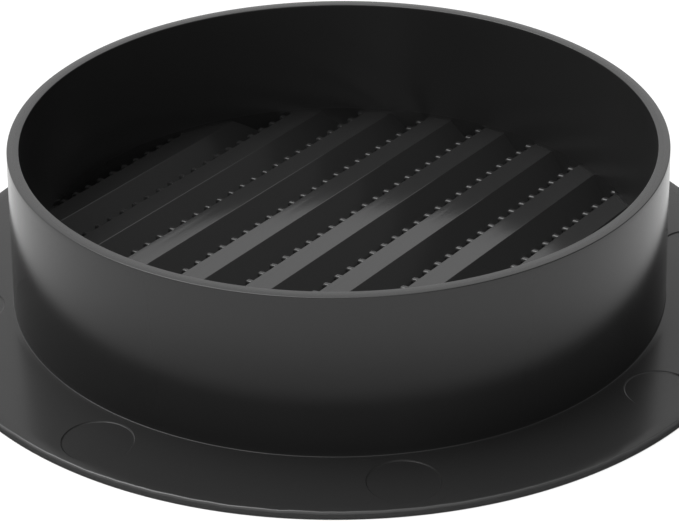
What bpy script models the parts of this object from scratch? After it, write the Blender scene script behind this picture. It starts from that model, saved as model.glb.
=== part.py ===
# Round soffit vent, moulded in one piece: a thin flange, a short collar that pushes into the
# hole, and a floor of leaning slats with a comb of small teeth along the top of each.
# Metres. The origin is at the middle of the visible face, which lies flat on z = 0. +Z runs up
# the collar, away from the room.

import math

import bmesh
import bpy
from mathutils import Matrix, Vector

# Collar
HOLE_DIAMETER = 0.070          # the hole that the foot of the collar fills
COLLAR_DRAFT = 0.0005          # how far the outside leans in, from the flange to the rim
COLLAR_HEIGHT = 0.0181         # visible face to rim
RIM_WALL = 0.00125             # wall at the rim
FLOOR_WALL = 0.0023            # wall at the visible face
FOOT_FILLET = 0.0002
RIM_EDGE_ROUND = 0.0002

# Flange
FLANGE_WIDTH = 0.0091          # how far it stands out past the foot of the collar
FLANGE_THICKNESS = 0.0008
FLANGE_EDGE_ROUND = 0.0002

# Slats
SLAT_TOP = 0.0046              # height of the flat tops above the visible face
SLAT_PITCH = 0.00697
SLAT_LEAN = math.radians(45)   # from upright
LAND_WIDTH = 0.0026            # flat top, across the slat
RIDGE_OFFSET = -0.0002         # place of the middle slat's sharp edge, across the slats
SLAT_DIRECTION = math.radians(53.5)
SLAT_SPARE = 0.1               # share of a slat's height and length that is cut off

# Teeth along each flat top
TOOTH_PITCH = 0.00207
TOOTH_SHIFT = 0.0009           # place of one tooth along the slat, from its middle
TOOTH_ROOT_WIDTH = 0.0008
TOOTH_TIP_WIDTH = 0.0007
TOOTH_LENGTH = 0.0007
TOOTH_THICKNESS = 0.0006
TOOTH_SINK = 0.00005           # how far the teeth lie below the flat top

# Shallow round marks that the ejector pins leave on the back of the flange
MARK_COUNT = 8
MARK_DIAMETER = 0.0070
MARK_DEPTH = 0.00012

# Fineness of the round shapes
RING_STEPS = 96
MARK_STEPS = 24
ROUND_STEPS = 3
WELD_DISTANCE = 0.000001

PART_NAME = "soffit_vent"
BLACK = (0.010, 0.010, 0.010, 1.0)
ROUGHNESS = 0.32

COLLAR_FOOT_RADIUS = HOLE_DIAMETER / 2
COLLAR_RIM_RADIUS = COLLAR_FOOT_RADIUS - COLLAR_DRAFT
FLANGE_RADIUS = COLLAR_FOOT_RADIUS + FLANGE_WIDTH
BORE_RIM_RADIUS = COLLAR_RIM_RADIUS - RIM_WALL
BORE_FLOOR_RADIUS = COLLAR_FOOT_RADIUS - FLOOR_WALL
SLAT_END_RADIUS = COLLAR_FOOT_RADIUS - FLOOR_WALL / 2    # the slats run into the wall
SLAT_RUN = SLAT_TOP * math.tan(SLAT_LEAN)                # how far a slat leans over its height


def make_collection(name):
    collection = bpy.data.collections.new(name)
    bpy.context.scene.collection.children.link(collection)
    return collection


def arc(centre, radius, start, end, steps):
    """Points of an arc in the (radius, height) plane, angles in degrees."""
    angles = [math.radians(start + (end - start) * i / steps) for i in range(steps + 1)]
    return [(centre[0] + radius * math.cos(a), centre[1] + radius * math.sin(a)) for a in angles]


def add_modifier(obj, name, kind, **settings):
    modifier = obj.modifiers.new(name, kind)
    for key, value in settings.items():
        setattr(modifier, key, value)
    return modifier


def boolean(obj, name, operation, other):
    """All meshes here are closed. The exact solver loses the toothed slats at the trim."""
    add_modifier(obj, name, "BOOLEAN", operation=operation, object=other, solver="MANIFOLD")


def hide_as_cutter(obj):
    obj.hide_render = True
    obj.display_type = "WIRE"


def evaluated_mesh(obj):
    """The object's mesh with its modifiers and its place applied, and loose caps welded."""
    bpy.context.view_layer.update()
    depsgraph = bpy.context.evaluated_depsgraph_get()
    mesh = bpy.data.meshes.new_from_object(obj.evaluated_get(depsgraph))
    mesh.transform(obj.matrix_world)
    bm = bmesh.new()
    bm.from_mesh(mesh)
    bmesh.ops.remove_doubles(bm, verts=bm.verts, dist=WELD_DISTANCE)
    bmesh.ops.recalc_face_normals(bm, faces=bm.faces)
    bm.to_mesh(mesh)
    bm.free()
    return mesh


def shell_profile():
    """Section of flange and collar, down the outside, along the visible face and up the bore."""
    points = arc((COLLAR_RIM_RADIUS - RIM_EDGE_ROUND, COLLAR_HEIGHT - RIM_EDGE_ROUND),
                 RIM_EDGE_ROUND, 90, 0, ROUND_STEPS)
    points += arc((COLLAR_FOOT_RADIUS + FOOT_FILLET, FLANGE_THICKNESS + FOOT_FILLET),
                  FOOT_FILLET, 180, 270, ROUND_STEPS)
    points += arc((FLANGE_RADIUS - FLANGE_EDGE_ROUND, FLANGE_THICKNESS - FLANGE_EDGE_ROUND),
                  FLANGE_EDGE_ROUND, 90, 0, ROUND_STEPS)
    points += arc((FLANGE_RADIUS - FLANGE_EDGE_ROUND, FLANGE_EDGE_ROUND),
                  FLANGE_EDGE_ROUND, 0, -90, ROUND_STEPS)
    points += [(BORE_FLOOR_RADIUS, 0), (BORE_RIM_RADIUS, COLLAR_HEIGHT)]
    return points + points[:1]


def make_shell(collection):
    """Flange and collar, turned about +Z."""
    mesh = bpy.data.meshes.new(PART_NAME)
    points = shell_profile()
    edges = [(i, i + 1) for i in range(len(points) - 1)]
    mesh.from_pydata([(r, 0, z) for r, z in points], edges, [])
    shell = bpy.data.objects.new(PART_NAME, mesh)
    collection.objects.link(shell)
    add_modifier(shell, "Turn", "SCREW", steps=RING_STEPS, render_steps=RING_STEPS,
                 use_merge_vertices=True, merge_threshold=WELD_DISTANCE,
                 use_normal_calculate=True)
    add_modifier(shell, "Close", "WELD", merge_threshold=WELD_DISTANCE)
    return shell


def flat_outline(name, points, thickness, matrix):
    """A flat outline given thickness, as a mesh at its place."""
    curve = bpy.data.curves.new(name, "CURVE")
    curve.dimensions = "2D"
    curve.fill_mode = "BOTH"
    curve.extrude = thickness / 2
    spline = curve.splines.new("POLY")
    spline.points.add(len(points) - 1)
    for point, (x, y) in zip(spline.points, points):
        point.co = (x, y, 0, 1)
    spline.use_cyclic_u = True
    outline = bpy.data.objects.new(name, curve)
    bpy.context.scene.collection.objects.link(outline)
    outline.matrix_world = matrix
    mesh = evaluated_mesh(outline)
    bpy.data.objects.remove(outline)
    bpy.data.curves.remove(curve)
    return bpy.data.objects.new(name, mesh)


def slat_axes():
    """Directions along a slat and across the slats, towards the side that they lean to."""
    along = Vector((math.cos(SLAT_DIRECTION), math.sin(SLAT_DIRECTION), 0))
    across = Vector((along.y, -along.x, 0))
    return along, across


def frame_matrix(x_axis, y_axis, z_axis, place):
    """A matrix that turns local X, Y and Z to the given axes."""
    turn = Matrix((x_axis, y_axis, z_axis)).transposed()
    return Matrix.Translation(place) @ turn.to_4x4()


def slat_places():
    """Ridge places across the slats, for each slat whose section reaches into the bore."""
    reach = math.ceil(COLLAR_FOOT_RADIUS / SLAT_PITCH)
    places = [RIDGE_OFFSET + i * SLAT_PITCH for i in range(-reach, reach + 1)]
    first = -SLAT_END_RADIUS - SLAT_RUN / 2
    last = SLAT_END_RADIUS
    return [place for place in places if first < place < last]


def make_slat(place):
    """A leaning slat: flat top, ridge, and two parallel sloping faces. Its foot runs a little
    past the visible face, where the trim cuts it off."""
    along, across = slat_axes()
    foot = SLAT_RUN * (1 + SLAT_SPARE)
    low = -SLAT_TOP * SLAT_SPARE
    section = [(0, SLAT_TOP), (-LAND_WIDTH, SLAT_TOP), (foot - LAND_WIDTH, low), (foot, low)]
    matrix = frame_matrix(across, Vector((0, 0, 1)), -along, across * place)
    return flat_outline("slat", section, HOLE_DIAMETER * (1 + SLAT_SPARE), matrix)


def make_comb(place):
    """The toothed strip along the upper edge of a slat. Its outline lies in the plan."""
    along, across = slat_axes()
    half_count = math.ceil((COLLAR_FOOT_RADIUS + abs(TOOTH_SHIFT)) / TOOTH_PITCH)
    buried = -LAND_WIDTH / 2
    edge = -LAND_WIDTH
    tip = edge - TOOTH_LENGTH
    outline = []
    for i in range(-half_count, half_count + 1):
        middle = i * TOOTH_PITCH + TOOTH_SHIFT
        outline += [(middle - TOOTH_ROOT_WIDTH / 2, edge), (middle - TOOTH_TIP_WIDTH / 2, tip),
                    (middle + TOOTH_TIP_WIDTH / 2, tip), (middle + TOOTH_ROOT_WIDTH / 2, edge)]
    outline += [(outline[-1][0], buried), (outline[0][0], buried)]
    height = SLAT_TOP - TOOTH_SINK - TOOTH_THICKNESS / 2
    matrix = frame_matrix(along, across, Vector((0, 0, 1)), across * place)
    matrix = Matrix.Translation((0, 0, height)) @ matrix
    return flat_outline("comb", outline, TOOTH_THICKNESS, matrix)


def make_disc(name, radius, low, high, steps, x=0, y=0):
    mesh = bpy.data.meshes.new(name)
    bm = bmesh.new()
    middle = Matrix.Translation((x, y, (low + high) / 2))
    bmesh.ops.create_cone(bm, cap_ends=True, segments=steps, radius1=radius, radius2=radius,
                          depth=high - low, matrix=middle)
    bm.to_mesh(mesh)
    bm.free()
    return bpy.data.objects.new(name, mesh)


def make_slats(cutters):
    """Each slat with its comb, trimmed to a round that ends inside the collar's wall."""
    trim = make_disc("slat_trim", SLAT_END_RADIUS, 0, 2 * SLAT_TOP, RING_STEPS)
    cutters.objects.link(trim)
    hide_as_cutter(trim)
    slats = []
    for i, place in enumerate(slat_places()):
        slat = make_slat(place)
        comb = make_comb(place)
        for obj in (slat, comb):
            cutters.objects.link(obj)
        boolean(slat, "Add comb", "UNION", comb)
        boolean(slat, "Trim", "INTERSECT", trim)
        trimmed = bpy.data.objects.new(f"slat_{i + 1}", evaluated_mesh(slat))
        cutters.objects.link(trimmed)
        hide_as_cutter(trimmed)
        slats.append(trimmed)
        bpy.data.objects.remove(slat)
        bpy.data.objects.remove(comb)
    return slats


def make_marks(cutters):
    """Round cutters for the ejector marks, spaced evenly from the slats' direction."""
    circle = COLLAR_FOOT_RADIUS + FLANGE_WIDTH / 2
    marks = []
    for i in range(MARK_COUNT):
        angle = SLAT_DIRECTION + 2 * math.pi * i / MARK_COUNT
        mark = make_disc(f"mark_{i + 1}", MARK_DIAMETER / 2, FLANGE_THICKNESS - MARK_DEPTH,
                         FLANGE_THICKNESS + MARK_DEPTH, MARK_STEPS,
                         circle * math.cos(angle), circle * math.sin(angle))
        cutters.objects.link(mark)
        hide_as_cutter(mark)
        marks.append(mark)
    return marks


def black_plastic():
    material = bpy.data.materials.new("black_plastic")
    material.use_nodes = True
    shader = material.node_tree.nodes["Principled BSDF"]
    shader.inputs["Base Color"].default_value = BLACK
    shader.inputs["Roughness"].default_value = ROUGHNESS
    shader.inputs["Metallic"].default_value = 0.0
    return material


def main():
    for obj in list(bpy.data.objects):
        bpy.data.objects.remove(obj)

    model = make_collection(PART_NAME)
    cutters = make_collection("cutters")
    vent = make_shell(model)
    for slat in make_slats(cutters):
        boolean(vent, slat.name, "UNION", slat)
    for mark in make_marks(cutters):
        boolean(vent, mark.name, "DIFFERENCE", mark)
    vent.data.materials.append(black_plastic())
    vent.data.shade_smooth()
    vent.data.set_sharp_from_angle(angle=math.radians(30))


main()
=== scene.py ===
# Round soffit vent in satin black plastic, lying on its flange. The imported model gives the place
# and the outer sizes; this script models the fine shape, the finish, the light and the camera.
# Lengths are in metres, angles in degrees, and the scales of patterns per metre.
import math

import bmesh
import bpy
from mathutils import Matrix, Vector, noise


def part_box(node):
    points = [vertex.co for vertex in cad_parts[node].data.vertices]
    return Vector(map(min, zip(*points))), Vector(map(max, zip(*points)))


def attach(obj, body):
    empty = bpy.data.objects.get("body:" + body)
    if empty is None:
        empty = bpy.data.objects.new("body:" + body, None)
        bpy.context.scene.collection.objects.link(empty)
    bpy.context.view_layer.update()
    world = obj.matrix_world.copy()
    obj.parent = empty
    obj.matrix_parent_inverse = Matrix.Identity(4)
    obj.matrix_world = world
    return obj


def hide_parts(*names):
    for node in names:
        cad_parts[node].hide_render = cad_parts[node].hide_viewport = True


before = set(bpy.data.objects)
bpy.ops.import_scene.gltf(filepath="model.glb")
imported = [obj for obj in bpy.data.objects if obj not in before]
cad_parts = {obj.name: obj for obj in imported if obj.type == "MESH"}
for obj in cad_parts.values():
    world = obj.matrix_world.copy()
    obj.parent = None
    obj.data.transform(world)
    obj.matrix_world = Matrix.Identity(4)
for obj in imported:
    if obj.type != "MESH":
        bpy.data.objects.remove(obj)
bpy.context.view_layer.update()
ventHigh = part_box("soffit_vent")[1]
print("frame loaded")

mergeDistance = 0.000001      # points of a turned shape that are closer become one


# points of a round edge in the section plane
def arc(centreX, centreZ, radius, start, end, steps):
    turn = [math.radians(start + (end - start) * i / steps) for i in range(steps + 1)]
    return [(centreX + radius * math.cos(a), centreZ + radius * math.sin(a)) for a in turn]


# the same outline, with long straight runs cut into rows
def withRows(points, row):
    result = []
    for here, after in zip(points, points[1:] + points[:1]):
        gap = math.dist(here, after)
        count = max(1, round(gap / row))
        for i in range(count):
            share = i / count
            result.append((here[0] + (after[0] - here[0]) * share,
                           here[1] + (after[1] - here[1]) * share))
    return result


# the evaluated mesh of an object as an object of its own, placed in the world
def plainMesh(obj):
    bpy.context.view_layer.update()
    depsgraph = bpy.context.evaluated_depsgraph_get()
    mesh = bpy.data.meshes.new_from_object(obj.evaluated_get(depsgraph))
    mesh.transform(obj.matrix_world)
    plain = bpy.data.objects.new(obj.name + "Plain", mesh)
    bpy.context.scene.collection.objects.link(plain)
    bpy.data.objects.remove(obj)
    return plain


# a new object whose mesh is filled by build(bm)
def meshObject(name, build):
    mesh = bpy.data.meshes.new(name)
    bm = bmesh.new()
    build(bm)
    bmesh.ops.recalc_face_normals(bm, faces=bm.faces)
    bm.to_mesh(mesh)
    bm.free()
    obj = bpy.data.objects.new(name, mesh)
    bpy.context.scene.collection.objects.link(obj)
    return obj


# a Boolean modifier that joins the other object, cuts it away or keeps what both share
def combine(obj, other, operation):
    modifier = obj.modifiers.new(operation.title(), "BOOLEAN")
    modifier.operation = operation
    modifier.solver = "MANIFOLD"
    modifier.object = other


# Geometry Nodes helpers
def newTree(name, sockets):
    tree = bpy.data.node_groups.new(name, "GeometryNodeTree")
    for label, kind in sockets:
        tree.interface.new_socket(label, in_out="INPUT", socket_type="NodeSocket" + kind)
    tree.interface.new_socket("Geometry", in_out="OUTPUT", socket_type="NodeSocketGeometry")
    return tree, tree.nodes.new("NodeGroupInput"), tree.nodes.new("NodeGroupOutput")


# a node with its settings, and its inputs linked to a socket or set to a value
def addNode(tree, kind, inputs=None, **settings):
    node = tree.nodes.new(kind)
    for key, value in settings.items():
        setattr(node, key, value)
    for key, value in (inputs or {}).items():
        if isinstance(value, bpy.types.NodeSocket):
            tree.links.new(value, node.inputs[key])
        else:
            node.inputs[key].default_value = value
    return node


# distance of a place from the vent's axis
def farFromAxis(tree, place):
    flat = addNode(tree, "ShaderNodeVectorMath", {0: place, 1: (1, 1, 0)}, operation="MULTIPLY")
    return addNode(tree, "ShaderNodeVectorMath", {0: flat.outputs[0]},
                   operation="LENGTH").outputs["Value"]


# from low to high, smoothly, as a value goes from one limit to the other
def fade(tree, value, limits, low, high):
    return addNode(tree, "ShaderNodeMapRange", {
        "Value": value, "From Min": limits[0], "From Max": limits[1],
        "To Min": low, "To Max": high}, interpolation_type="SMOOTHSTEP").outputs[0]


# real geometry with its material, as the tree's result
def finishTree(tree, geometry, material, output):
    real = addNode(tree, "GeometryNodeRealizeInstances", {"Geometry": geometry})
    dressed = addNode(tree, "GeometryNodeSetMaterial",
                      {"Geometry": real.outputs[0], "Material": material})
    tree.links.new(dressed.outputs[0], output.inputs[0])


# the tree's result as a plain mesh object
def runTree(name, tree, values):
    host = bpy.data.objects.new(name, bpy.data.meshes.new(name))
    bpy.context.scene.collection.objects.link(host)
    modifier = host.modifiers.new(name, "NODES")
    modifier.node_group = tree
    for item in tree.interface.items_tree:
        if item.in_out == "INPUT" and item.name in values:
            modifier[item.identifier] = values[item.name]
    return plainMesh(host)


collar = {
    "footRadius": 0.0350,
    "draft": 0.0005,          # lean of the outside from foot to rim
    "rimWall": 0.00125,
    "floorWall": 0.0023,
    "footFillet": 0.00008,
    "rimOuterRound": 0.00010,
    "rimInnerRound": 0.00010,
    "roundSteps": 4,
    "wallRow": 0.0006,        # height of one row of faces on the walls
    "aroundSteps": 288,
}

flange = {
    "radius": ventHigh.x,
    "thickness": 0.0008,
    "topRound": 0.00026,
    "undersideRound": 0.00004,
    "edgeRough": 0.00009,     # how far the round wanders up and down and inwards
    "edgeRoughScale": 700.0,
    "roughReach": 1.2,        # how far in it starts, in edge rounds
    "paintedLightEdgeFrom": 0.8,        # and the same for the edge's lighter colour, painted light
}

floorRadius = collar["footRadius"] - collar["floorWall"]
rimRadius = collar["footRadius"] - collar["draft"]
boreRimRadius = rimRadius - collar["rimWall"]
height = ventHigh.z
slatEndRadius = collar["footRadius"] - collar["floorWall"] / 2


# outline of collar and flange, down the outside, under, and up the bore
def shellSection():
    steps = collar["roundSteps"]
    outer, inner = collar["rimOuterRound"], collar["rimInnerRound"]
    fillet, top, under = collar["footFillet"], flange["topRound"], flange["undersideRound"]
    points = arc(rimRadius - outer, height - outer, outer, 90, 0, steps)
    points += arc(collar["footRadius"] + fillet, flange["thickness"] + fillet,
                  fillet, 180, 270, steps)
    points += arc(flange["radius"] - top, flange["thickness"] - top, top, 90, 0, steps)
    points += arc(flange["radius"] - under, under, under, 0, -90, steps)
    points += [(floorRadius, 0)]
    points += arc(boreRimRadius + inner, height - inner, inner, 180, 90, steps)
    return withRows(points, collar["wallRow"])


# small unevenness of the moulded edge, inwards and down only
def roughenEdge(bm):
    roughFrom = flange["radius"] - flange["topRound"] * flange["roughReach"]
    for vert in bm.verts:
        far = vert.co.xy.length
        if far > roughFrom and vert.co.z > flange["topRound"]:
            wander = noise.noise(vert.co * flange["edgeRoughScale"] * Vector((1, 1, 0)))
            inwards = 1 - flange["edgeRough"] * (1 + wander) / 2 / far
            vert.co.x *= inwards
            vert.co.y *= inwards
            vert.co.z -= flange["edgeRough"] * (1 - wander) / 2


def makeShell():
    def build(bm):
        ring = [bm.verts.new((x, 0, z)) for x, z in shellSection()]
        edges = [bm.edges.new(pair) for pair in zip(ring, ring[1:] + ring[:1])]
        bmesh.ops.spin(bm, geom=ring + edges, cent=(0, 0, 0), axis=(0, 0, 1),
                       angle=2 * math.pi, steps=collar["aroundSteps"], use_merge=True)
        bmesh.ops.remove_doubles(bm, verts=bm.verts, dist=mergeDistance)
        roughenEdge(bm)
    return meshObject("shell", build)


slats = {
    "top": 0.0046,
    "pitch": 0.00697,
    "lean": 45,
    "landWidth": 0.0026,
    "landFall": 0.000035,     # of the flat top, towards the ridge
    "ridgeOffset": -0.0002,
    "direction": 53.5,        # of the slats' length, from +X
    "ridgeRound": 0.00014,
    "ridgeSteps": 6,
    "combEdgeRound": 0.00006,
    "combEdgeSteps": 3,
    "seamPlace": 0.00170,     # fine seam along the flat top, from the ridge
    "seamWidth": 0.00018,
    "seamDepth": 0.00001,
    "spare": 0.0005,          # cut off below the visible face
    "pieceLength": 0.0010,    # along the slat
    "reach": 1.05,            # half its length before it is trimmed, in foot radii
}

slatTurn = Matrix.Rotation(math.radians(slats["direction"] - 90), 4, "Z")  # +X goes across
slatsEachSide = math.ceil(collar["footRadius"] / slats["pitch"])
slatCount = 2 * slatsEachSide + 1


# outline of one slat across its length, ridge at x = 0
def slatSection():
    top, spare = slats["top"], slats["spare"]
    lean = math.radians(slats["lean"])
    run = (top + spare) * math.tan(lean)
    ridge, edge = slats["ridgeRound"], slats["combEdgeRound"]
    land, seam = slats["landWidth"], slats["seamPlace"]
    half, deep = slats["seamWidth"] / 2, slats["seamDepth"]
    turn = math.pi / 2 - lean                              # between the flat top and the slope
    ridgeIn = ridge * math.tan(turn / 2)                   # from the ridge to the round's start
    points = arc(-ridgeIn, top - ridge, ridge, 90 - math.degrees(turn), 90,
                 slats["ridgeSteps"])
    points += [(-seam + half, top), (-seam, top - deep), (-seam - half, top)]
    points += arc(-land + edge, top - edge, edge, 90, 180, slats["combEdgeSteps"])
    points = [(x, z - slats["landFall"] * (1 + x / land)) for x, z in points]
    points += [(run - land, -spare), (run, -spare)]
    return points


def makeSlat():
    section = slatSection()
    half = collar["footRadius"] * slats["reach"]
    count = round(2 * half / slats["pieceLength"])

    def build(bm):
        rows = []
        for i in range(count + 1):
            y = -half + 2 * half * i / count
            rows.append([bm.verts.new((x, y, z)) for x, z in section])
        for here, after in zip(rows, rows[1:]):
            for j in range(len(section)):
                k = (j + 1) % len(section)
                bm.faces.new((here[j], here[k], after[k], after[j]))
        bm.faces.new(rows[0])
        bm.faces.new(reversed(rows[-1]))
    return meshObject("slat", build)


# copies of one slat side by side across the bore
def slatTree():
    tree, given, output = newTree("slatRow", [
        ("Slat", "Object"), ("Count", "Int"), ("Pitch", "Float"), ("First", "Float"),
        ("Material", "Material")])
    first = addNode(tree, "ShaderNodeCombineXYZ", {"X": given.outputs["First"]})
    step = addNode(tree, "ShaderNodeCombineXYZ", {"X": given.outputs["Pitch"]})
    line = addNode(tree, "GeometryNodeMeshLine", {
        "Count": given.outputs["Count"], "Start Location": first.outputs[0],
        "Offset": step.outputs[0]}, mode="OFFSET")
    slat = addNode(tree, "GeometryNodeObjectInfo", {"Object": given.outputs["Slat"]})
    placed = addNode(tree, "GeometryNodeInstanceOnPoints", {
        "Points": line.outputs[0], "Instance": slat.outputs["Geometry"]})
    finishTree(tree, placed.outputs[0], given.outputs["Material"], output)
    return tree


# all slats side by side, cut off at the visible face and inside the wall
def makeSlatRows(material):
    slat = makeSlat()
    rows = runTree("slatRows", slatTree(), {
        "Slat": slat, "Count": slatCount, "Pitch": slats["pitch"],
        "First": slats["ridgeOffset"] - slatsEachSide * slats["pitch"], "Material": material})
    rows.data.transform(slatTurn)

    def disc(bm):
        bmesh.ops.create_cone(bm, cap_ends=True, segments=collar["aroundSteps"],
                              radius1=slatEndRadius, radius2=slatEndRadius, depth=height / 2,
                              matrix=Matrix.Translation((0, 0, height / 4)))
    trim = meshObject("trim", disc)
    combine(rows, trim, "INTERSECT")
    rows = plainMesh(rows)
    for helper in (slat, trim):
        bpy.data.objects.remove(helper)
    print("slats", len(rows.data.polygons))
    return rows


teeth = {
    "pitch": 0.00207,
    "shift": 0.00088,         # place of one tooth along the slat, from its middle
    "width": 0.00088,
    "length": 0.00085,
    "root": 0.00065,          # length buried in the slat
    "height": 0.00070,
    "drop": 0.00001,          # of the teeth's tops below the flat top
    "round": 0.00030,
    "roundSteps": 3,
    "spread": 0.05,           # share by which one tooth differs from the next
    "seed": 7,
}


# one small peg with round edges, pointing to -X, its top at z = 0
def makeTooth():
    full = teeth["length"] + teeth["root"]

    def build(bm):
        bmesh.ops.create_cube(bm, size=1.0)
        bmesh.ops.scale(bm, verts=bm.verts, vec=(full, teeth["width"], teeth["height"]))
        bmesh.ops.translate(bm, verts=bm.verts, vec=(
            teeth["root"] - full / 2, 0, -teeth["height"] / 2))
        bmesh.ops.bevel(bm, geom=list(bm.edges), offset=teeth["round"],
                        segments=teeth["roundSteps"], profile=0.5, affect="EDGES")
    return meshObject("tooth", build)


# teeth on a grid, one row for each slat, as far as the wall reaches
def toothTree():
    tree, given, output = newTree("toothRows", [
        ("Tooth", "Object"), ("Rows", "Int"), ("Per Row", "Int"), ("Row Pitch", "Float"),
        ("Tooth Pitch", "Float"), ("Shift", "Vector"), ("Reach", "Float"), ("Spread", "Float"),
        ("Seed", "Int"), ("Material", "Material")])

    def span(count, pitch):
        gaps = addNode(tree, "ShaderNodeMath", {0: count, 1: 1.0}, operation="SUBTRACT")
        return addNode(tree, "ShaderNodeMath", {0: gaps.outputs[0], 1: pitch},
                       operation="MULTIPLY").outputs[0]

    grid = addNode(tree, "GeometryNodeMeshGrid", {
        "Size X": span(given.outputs["Rows"], given.outputs["Row Pitch"]),
        "Size Y": span(given.outputs["Per Row"], given.outputs["Tooth Pitch"]),
        "Vertices X": given.outputs["Rows"], "Vertices Y": given.outputs["Per Row"]})
    moved = addNode(tree, "GeometryNodeTransform", {
        "Geometry": grid.outputs["Mesh"], "Translation": given.outputs["Shift"]})
    place = addNode(tree, "GeometryNodeInputPosition")
    outside = addNode(tree, "FunctionNodeCompare", {
        "A": farFromAxis(tree, place.outputs[0]), "B": given.outputs["Reach"]},
        data_type="FLOAT", operation="GREATER_THAN")
    kept = addNode(tree, "GeometryNodeDeleteGeometry", {
        "Geometry": moved.outputs[0], "Selection": outside.outputs[0]}, domain="POINT")
    smallest = addNode(tree, "ShaderNodeMath", {0: 1.0, 1: given.outputs["Spread"]},
                       operation="SUBTRACT")
    size = addNode(tree, "FunctionNodeRandomValue", {
        "Min": smallest.outputs[0], "Max": (1, 1, 1), "Seed": given.outputs["Seed"]},
        data_type="FLOAT_VECTOR")
    tooth = addNode(tree, "GeometryNodeObjectInfo", {"Object": given.outputs["Tooth"]})
    placed = addNode(tree, "GeometryNodeInstanceOnPoints", {
        "Points": kept.outputs[0], "Instance": tooth.outputs["Geometry"],
        "Scale": size.outputs[0]})
    finishTree(tree, placed.outputs[0], given.outputs["Material"], output)
    return tree


# all teeth, along the upper edge of each slat
def makeCombs(material):
    tooth = makeTooth()
    combs = runTree("combs", toothTree(), {
        "Tooth": tooth, "Rows": slatCount,
        "Per Row": 2 * math.ceil(collar["footRadius"] / teeth["pitch"]) + 1,
        "Row Pitch": slats["pitch"], "Tooth Pitch": teeth["pitch"],
        "Shift": (slats["ridgeOffset"] - slats["landWidth"], teeth["shift"],
                  slats["top"] - teeth["drop"]),
        "Reach": slatEndRadius - teeth["width"] / 2, "Spread": teeth["spread"],
        "Seed": teeth["seed"], "Material": material})
    combs.data.transform(slatTurn)
    bpy.data.objects.remove(tooth)
    print("teeth", len(combs.data.polygons))
    return combs


marks = {
    "count": 8,
    "radius": 0.0036,
    "depth": 0.00013,
    "lip": 0.00018,
    "lipSteps": 4,
    "lipShare": 0.6,          # share of the depth that the round lip takes
    "cutterHeight": 3,        # in depths
    "steps": 64,
}


# cutter for one round mark: a shallow dish whose lip is rounded, its floor at z = 0
def makeMark():
    depth, lip = marks["depth"], marks["lip"]
    section = [(0, 0), (marks["radius"] - lip, 0)]
    section += arc(marks["radius"] - lip, lip, lip, -90, 0, marks["lipSteps"])[1:]
    section = [(x, z) for x, z in section if z <= depth * marks["lipShare"]]
    over = depth * marks["cutterHeight"]
    section += [(marks["radius"], depth), (marks["radius"], over), (0, over)]

    def build(bm):
        line = [bm.verts.new((x, 0, z)) for x, z in section]
        edges = [bm.edges.new(pair) for pair in zip(line, line[1:])]
        bmesh.ops.spin(bm, geom=line + edges, cent=(0, 0, 0), axis=(0, 0, 1),
                       angle=2 * math.pi, steps=marks["steps"], use_merge=True)
        bmesh.ops.remove_doubles(bm, verts=bm.verts, dist=mergeDistance)
    return meshObject("mark", build)


# copies of one mark on a circle
def markTree():
    tree, given, output = newTree("markRing", [
        ("Mark", "Object"), ("Count", "Int"), ("Radius", "Float"), ("Material", "Material")])
    ring = addNode(tree, "GeometryNodeMeshCircle", {
        "Vertices": given.outputs["Count"], "Radius": given.outputs["Radius"]})
    mark = addNode(tree, "GeometryNodeObjectInfo", {"Object": given.outputs["Mark"]})
    placed = addNode(tree, "GeometryNodeInstanceOnPoints", {
        "Points": ring.outputs[0], "Instance": mark.outputs["Geometry"]})
    finishTree(tree, placed.outputs[0], given.outputs["Material"], output)
    return tree


# cutters for all marks, in the middle of the flange's back
def makeMarkRing(material):
    mark = makeMark()
    ring = runTree("markRing", markTree(), {
        "Mark": mark, "Count": marks["count"],
        "Radius": (collar["footRadius"] + flange["radius"]) / 2, "Material": material})
    ring.data.transform(Matrix.Translation((0, 0, flange["thickness"] - marks["depth"]))
                        @ Matrix.Rotation(math.radians(slats["direction"]), 4, "Z"))
    bpy.data.objects.remove(mark)
    return ring


finish = {
    "colour": 0.022,          # of the slats and the bore, lighter than the collar's outside: painted light in the bore
    "shadedCollarColour": 0.018,    # of the collar's outside, darker than the bore's: painted shade on the same plastic
    "gloss": 0.5,             # specular level of both, and of the lighter edge
    "ior": 1.5,
    "dullColour": 0.025,      # of the flange's back
    "dullGloss": 0.25,
    "edgePaintedLightColour": 0.065,      # of the flange's edge band, much lighter than the plastic: painted light where it mirrors the floor
    "slatRoughness": 0.15,
    "boreRoughness": 0.30,
    "boreFrom": (0.0001, 0.0004),      # heights over the flat tops where one fades to the other
    "wallRoughness": 0.17,
    "flangeRoughness": 0.20,
    "patchRoughness": 0.06,   # how far it wanders from place to place
    "patchScale": 160.0,
    "patchDetail": 4.0,
    "grainScale": 5200.0,
    "grainDetail": 2.0,
    "grainDepth": 0.0000022,
    "waveScale": 85.0,
    "waveDetail": 1.0,
    "waveDepth": 0.000020,
    "streaksAcross": 2200.0,  # fine marks along the slats, per metre across and along
    "streaksAlong": 90.0,
    "streakDetail": 3.0,
    "streakDepth": 0.0000030,
    "sharpAngle": 35,         # edges sharper than this stay crisp
}


# noise of one scale on the given coordinates
def grainy(tree, place, scale, detail):
    return addNode(tree, "ShaderNodeTexNoise", {
        "Vector": place, "Scale": scale, "Detail": detail}).outputs["Fac"]


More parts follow.
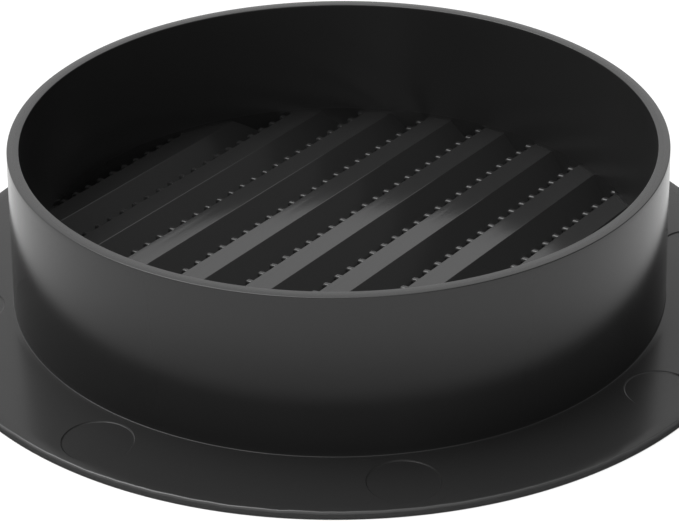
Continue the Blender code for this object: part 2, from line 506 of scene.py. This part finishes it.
# the slats and the collar's outside are the smoothest, and the bore above the slats the least
def plasticRoughness(tree, place, far, outOfBore):
    parts = addNode(tree, "ShaderNodeSeparateXYZ", {0: place})
    fadeStart, fadeEnd = finish["boreFrom"]
    inner = addNode(tree, "ShaderNodeMapRange", {
        "Value": parts.outputs["Z"], "From Min": slats["top"] + fadeStart,
        "From Max": slats["top"] + fadeEnd, "To Min": finish["slatRoughness"],
        "To Max": finish["boreRoughness"]})
    onCollar = addNode(tree, "ShaderNodeMix", {
        "Factor": outOfBore, "A": inner.outputs[0], "B": finish["wallRoughness"]})
    onFlange = addNode(tree, "ShaderNodeMath", {
        0: far, 1: collar["footRadius"] + collar["footFillet"] / 2}, operation="GREATER_THAN")
    base = addNode(tree, "ShaderNodeMix", {
        "Factor": onFlange.outputs[0], "A": onCollar.outputs[0], "B": finish["flangeRoughness"]})
    patches = addNode(tree, "ShaderNodeMath", {
        0: grainy(tree, place, finish["patchScale"], finish["patchDetail"]), 1: 0.5},
        operation="SUBTRACT")
    return addNode(tree, "ShaderNodeMath", {
        0: patches.outputs[0], 1: finish["patchRoughness"], 2: base.outputs[0]},
        operation="MULTIPLY_ADD").outputs[0]


# faint waves of shrinkage, fine marks along the slats, and grain
def plasticNormal(tree, place, outOfBore):
    wave = addNode(tree, "ShaderNodeBump", {
        "Height": grainy(tree, place, finish["waveScale"], finish["waveDetail"]),
        "Distance": finish["waveDepth"]})
    turned = addNode(tree, "ShaderNodeVectorRotate", {
        "Vector": place, "Angle": math.radians(90 - slats["direction"])},
        rotation_type="Z_AXIS")
    drawn = addNode(tree, "ShaderNodeVectorMath", {
        0: turned.outputs[0], 1: (finish["streaksAcross"], finish["streaksAlong"], 0)},
        operation="MULTIPLY")
    onSlat = addNode(tree, "ShaderNodeMath", {0: 1.0, 1: outOfBore}, operation="SUBTRACT")
    streaks = addNode(tree, "ShaderNodeBump", {
        "Strength": onSlat.outputs[0],
        "Height": grainy(tree, drawn.outputs[0], 1.0, finish["streakDetail"]),
        "Distance": finish["streakDepth"], "Normal": wave.outputs[0]})
    return addNode(tree, "ShaderNodeBump", {
        "Height": grainy(tree, place, finish["grainScale"], finish["grainDetail"]),
        "Distance": finish["grainDepth"], "Normal": streaks.outputs[0]}).outputs[0]


# black moulded plastic, with slightly uneven gloss
def blackPlastic(name, colour, gloss):
    material = bpy.data.materials.new(name)
    material.use_nodes = True
    tree = material.node_tree
    shader = tree.nodes["Principled BSDF"]
    shader.inputs["Base Color"].default_value = (colour,) * 3 + (1,)
    shader.inputs["IOR"].default_value = finish["ior"]
    shader.inputs["Specular IOR Level"].default_value = gloss
    place = addNode(tree, "ShaderNodeTexCoord").outputs["Object"]
    far = farFromAxis(tree, place)
    outOfBore = addNode(tree, "ShaderNodeMath", {
        0: far, 1: rimRadius - collar["rimWall"] / 2}, operation="GREATER_THAN").outputs[0]
    tree.links.new(plasticRoughness(tree, place, far, outOfBore), shader.inputs["Roughness"])
    tree.links.new(plasticNormal(tree, place, outOfBore), shader.inputs["Normal"])
    return material


# smooth faces with crisp edges, in one material for the slats, the bore and the underside, and
# in the listed ones for the collar's outside, the flange's back and its edge
def dress(vent, material, outside):
    vent.data.materials.clear()
    for one in [material] + outside:
        vent.data.materials.append(one)
    # by distance from the axis, the collar's outside gets the darker copy, painted shade, and the
    # flange's edge band the lighter one, painted light
    starts = (rimRadius - collar["rimOuterRound"] / 2,
              collar["footRadius"] + collar["footFillet"] / 2,
              flange["radius"] - flange["topRound"] * flange["paintedLightEdgeFrom"])
    for face in vent.data.polygons:
        if face.center.z > flange["undersideRound"]:
            far = face.center.xy.length
            face.material_index = sum(far > start for start in starts)
    vent.data.shade_smooth()
    vent.data.set_sharp_from_angle(angle=math.radians(finish["sharpAngle"]))
    weighted = vent.modifiers.new("Flat faces", "WEIGHTED_NORMAL")
    weighted.keep_sharp = True
    return plainMesh(vent)


# the whole moulding as one closed mesh
def makeVent(material, outside):
    shell = makeShell()
    rows = makeSlatRows(material)
    combs = makeCombs(material)
    ring = makeMarkRing(material)
    combine(shell, rows, "UNION")
    combine(shell, combs, "UNION")
    combine(shell, ring, "DIFFERENCE")
    vent = plainMesh(shell)
    for helper in (rows, combs, ring):
        bpy.data.objects.remove(helper)
    vent = dress(vent, material, outside)
    vent.name = vent.data.name = "ventMoulding"
    print("moulding", len(vent.data.polygons))
    return vent


floor = {
    "halfWidth": 1.5,
    "drop": 0.00005,          # below the vent, so that the two faces don't touch
    "colour": 0.65,
    "roughness": 0.8,
    "seen": 0.92,             # the floor's own white, to which the light on it is added
    "lit": 0.16,
    "mirrored": 1.0,          # its brightness in mirrors, far from the vent
    "closeShade": (0.0433, 0.0478),    # radii between which the painted shade round the vent, seen in mirrors, ends
    "closeShadeShift": 0.002,          # its middle, towards the front
    "frontShade": (0.0345, 0.0560),    # and the same for the weaker painted shade before the vent
    "frontShadeShift": 0.012,
    "frontShadeShare": 0.4,
}


# white in the picture with the vent's shadow from the light on it, pale in mirrors with a painted
# shade drawn by distance round the vent; the given shader under the vent and for all other rays
def whiteFloor(tree, shaderOut):
    rays = addNode(tree, "ShaderNodeLightPath")
    white = addNode(tree, "ShaderNodeEmission", {"Strength": floor["seen"]})
    lit = addNode(tree, "ShaderNodeBsdfDiffuse", {
        "Color": (floor["lit"],) * 3 + (1,)})
    seen = addNode(tree, "ShaderNodeAddShader", {0: white.outputs[0], 1: lit.outputs[0]})
    place = addNode(tree, "ShaderNodeTexCoord").outputs["Object"]

    def shade(limits, shift, low, high):
        moved = addNode(tree, "ShaderNodeVectorMath", {0: place, 1: (0, shift, 0)})
        far = addNode(tree, "ShaderNodeVectorMath", {0: moved.outputs[0]}, operation="LENGTH")
        return fade(tree, far.outputs["Value"], limits, low, high)

    # painted shade: the floor in mirrors is darker near the vent, by distance from it
    level = addNode(tree, "ShaderNodeMath", {
        0: shade(floor["closeShade"], floor["closeShadeShift"], 0.0, floor["mirrored"]),
        1: shade(floor["frontShade"], floor["frontShadeShift"], floor["frontShadeShare"], 1.0)},
        operation="MULTIPLY")
    paintedShadeGlow = addNode(tree, "ShaderNodeEmission", {"Strength": level.outputs[0]})
    centre = addNode(tree, "ShaderNodeVectorMath", {0: place}, operation="LENGTH")
    under = addNode(tree, "ShaderNodeMath", {
        0: centre.outputs["Value"], 1: flange["radius"]}, operation="LESS_THAN")
    mirrored = addNode(tree, "ShaderNodeMixShader", {
        0: under.outputs[0], 1: paintedShadeGlow.outputs[0], 2: shaderOut})
    pictured = addNode(tree, "ShaderNodeMixShader", {
        0: under.outputs[0], 1: seen.outputs[0], 2: shaderOut})
    inMirror = addNode(tree, "ShaderNodeMath", {
        0: rays.outputs["Is Glossy Ray"], 1: rays.outputs["Is Transmission Ray"]},
        operation="MAXIMUM")
    first = addNode(tree, "ShaderNodeMixShader", {
        0: inMirror.outputs[0], 1: shaderOut, 2: mirrored.outputs[0]})
    return addNode(tree, "ShaderNodeMixShader", {
        0: rays.outputs["Is Camera Ray"], 1: first.outputs[0],
        2: pictured.outputs[0]}).outputs[0]


def makeFloor():
    def build(bm):
        bmesh.ops.create_grid(bm, x_segments=1, y_segments=1, size=floor["halfWidth"])
    ground = meshObject("paleFloor", build)
    ground.data.transform(Matrix.Translation((0, 0, -floor["drop"])))
    material = bpy.data.materials.new("paleFloor")
    material.use_nodes = True
    tree = material.node_tree
    shader = tree.nodes["Principled BSDF"]
    shader.inputs["Base Color"].default_value = (floor["colour"],) * 3 + (1,)
    shader.inputs["Roughness"].default_value = floor["roughness"]
    output = tree.nodes["Material Output"]
    tree.links.new(whiteFloor(tree, shader.outputs[0]), output.inputs["Surface"])
    ground.data.materials.append(material)


light = {
    "behind": 1.06,           # brightness of the surround behind the vent
    "leftShare": 0.75,        # and to the sides and in front, as shares of that
    "leftFade": (-0.8, -0.3), # parts of the direction, along X or Y, between which it changes
    "rightShare": 0.16,
    "rightFade": (0.2, 0.75),
    "frontShare": 0.66,
    "frontFade": (-0.3, 0.3),
    "keyWay": (-0.35, 0.20, 0.915),    # towards the middle of the key light
    "keyLevel": 5.0,
    "keyOuter": 28,           # angle from the middle of the key light where it ends
    "keyInner": 10,           # and up to where it is full
}


# a soft white surround, brightest behind the vent, with a key light nearly overhead
def makeLight():
    world = bpy.data.worlds.new("softSurround")
    bpy.context.scene.world = world
    world.use_nodes = True
    tree = world.node_tree
    tree.nodes.clear()
    way = addNode(tree, "ShaderNodeTexCoord").outputs["Generated"]
    parts = addNode(tree, "ShaderNodeSeparateXYZ", {0: way})

    across, along = parts.outputs["X"], parts.outputs["Y"]
    level = light["behind"]
    for share in (fade(tree, across, light["leftFade"], light["leftShare"], 1.0),
                  fade(tree, across, light["rightFade"], 1.0, light["rightShare"]),
                  fade(tree, along, light["frontFade"], light["frontShare"], 1.0)):
        level = addNode(tree, "ShaderNodeMath", {0: level, 1: share},
                        operation="MULTIPLY").outputs[0]
    near = addNode(tree, "ShaderNodeVectorMath", {
        0: way, 1: Vector(light["keyWay"]).normalized()}, operation="DOT_PRODUCT")
    keyLimits = [math.cos(math.radians(light[name])) for name in ("keyOuter", "keyInner")]
    key = fade(tree, near.outputs["Value"], keyLimits, 0.0, light["keyLevel"])
    total = addNode(tree, "ShaderNodeMath", {0: level, 1: key}, operation="ADD")
    rays = addNode(tree, "ShaderNodeLightPath")
    soft = addNode(tree, "ShaderNodeBackground", {"Strength": total.outputs[0]})
    white = addNode(tree, "ShaderNodeBackground", {"Strength": 1.0})
    for node in (soft, white):
        node.inputs["Color"].default_value = (1, 1, 1, 1)
    mixed = addNode(tree, "ShaderNodeMixShader", {
        0: rays.outputs["Is Camera Ray"], 1: soft.outputs[0], 2: white.outputs[0]})
    output = addNode(tree, "ShaderNodeOutputWorld")
    tree.links.new(mixed.outputs[0], output.inputs["Surface"])


view = {
    "lens": 128.65,           # in millimetres, as the sensor's width is
    "distance": 0.26265,
    "elevation": 29.89,
    "aimHeight": 0.00264,
    "roll": -0.5375,
    "sensor": 36,
    "clipStart": 0.01,
}


# the photograph's viewpoint
def makeCamera():
    raised = math.radians(view["elevation"])
    place = Vector((0, -math.cos(raised), math.sin(raised))) * view["distance"]
    aim = Vector((0, 0, view["aimHeight"]))
    turn = (aim - place).to_track_quat("-Z", "Y").to_matrix().to_4x4()
    data = bpy.data.cameras.new("photoView")
    data.lens = view["lens"]
    data.sensor_width = view["sensor"]
    data.clip_start = view["clipStart"]
    camera = bpy.data.objects.new("photoView", data)
    bpy.context.scene.collection.objects.link(camera)
    camera.matrix_world = (Matrix.Translation(place) @ turn
                           @ Matrix.Rotation(math.radians(view["roll"]), 4, "Z"))
    bpy.context.scene.camera = camera


makeCamera()
vent = makeVent(blackPlastic("satinBlackPlastic", finish["colour"], finish["gloss"]), [
    blackPlastic("blackWall", finish["shadedCollarColour"], finish["gloss"]),
    blackPlastic("dullBlackBack", finish["dullColour"], finish["dullGloss"]),
    blackPlastic("roughBlackEdge", finish["edgePaintedLightColour"], finish["gloss"])])
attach(vent, "root")
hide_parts("soffit_vent")
makeFloor()
makeLight()
bpy.context.scene.view_settings.view_transform = "Standard"
print("light and camera ready")
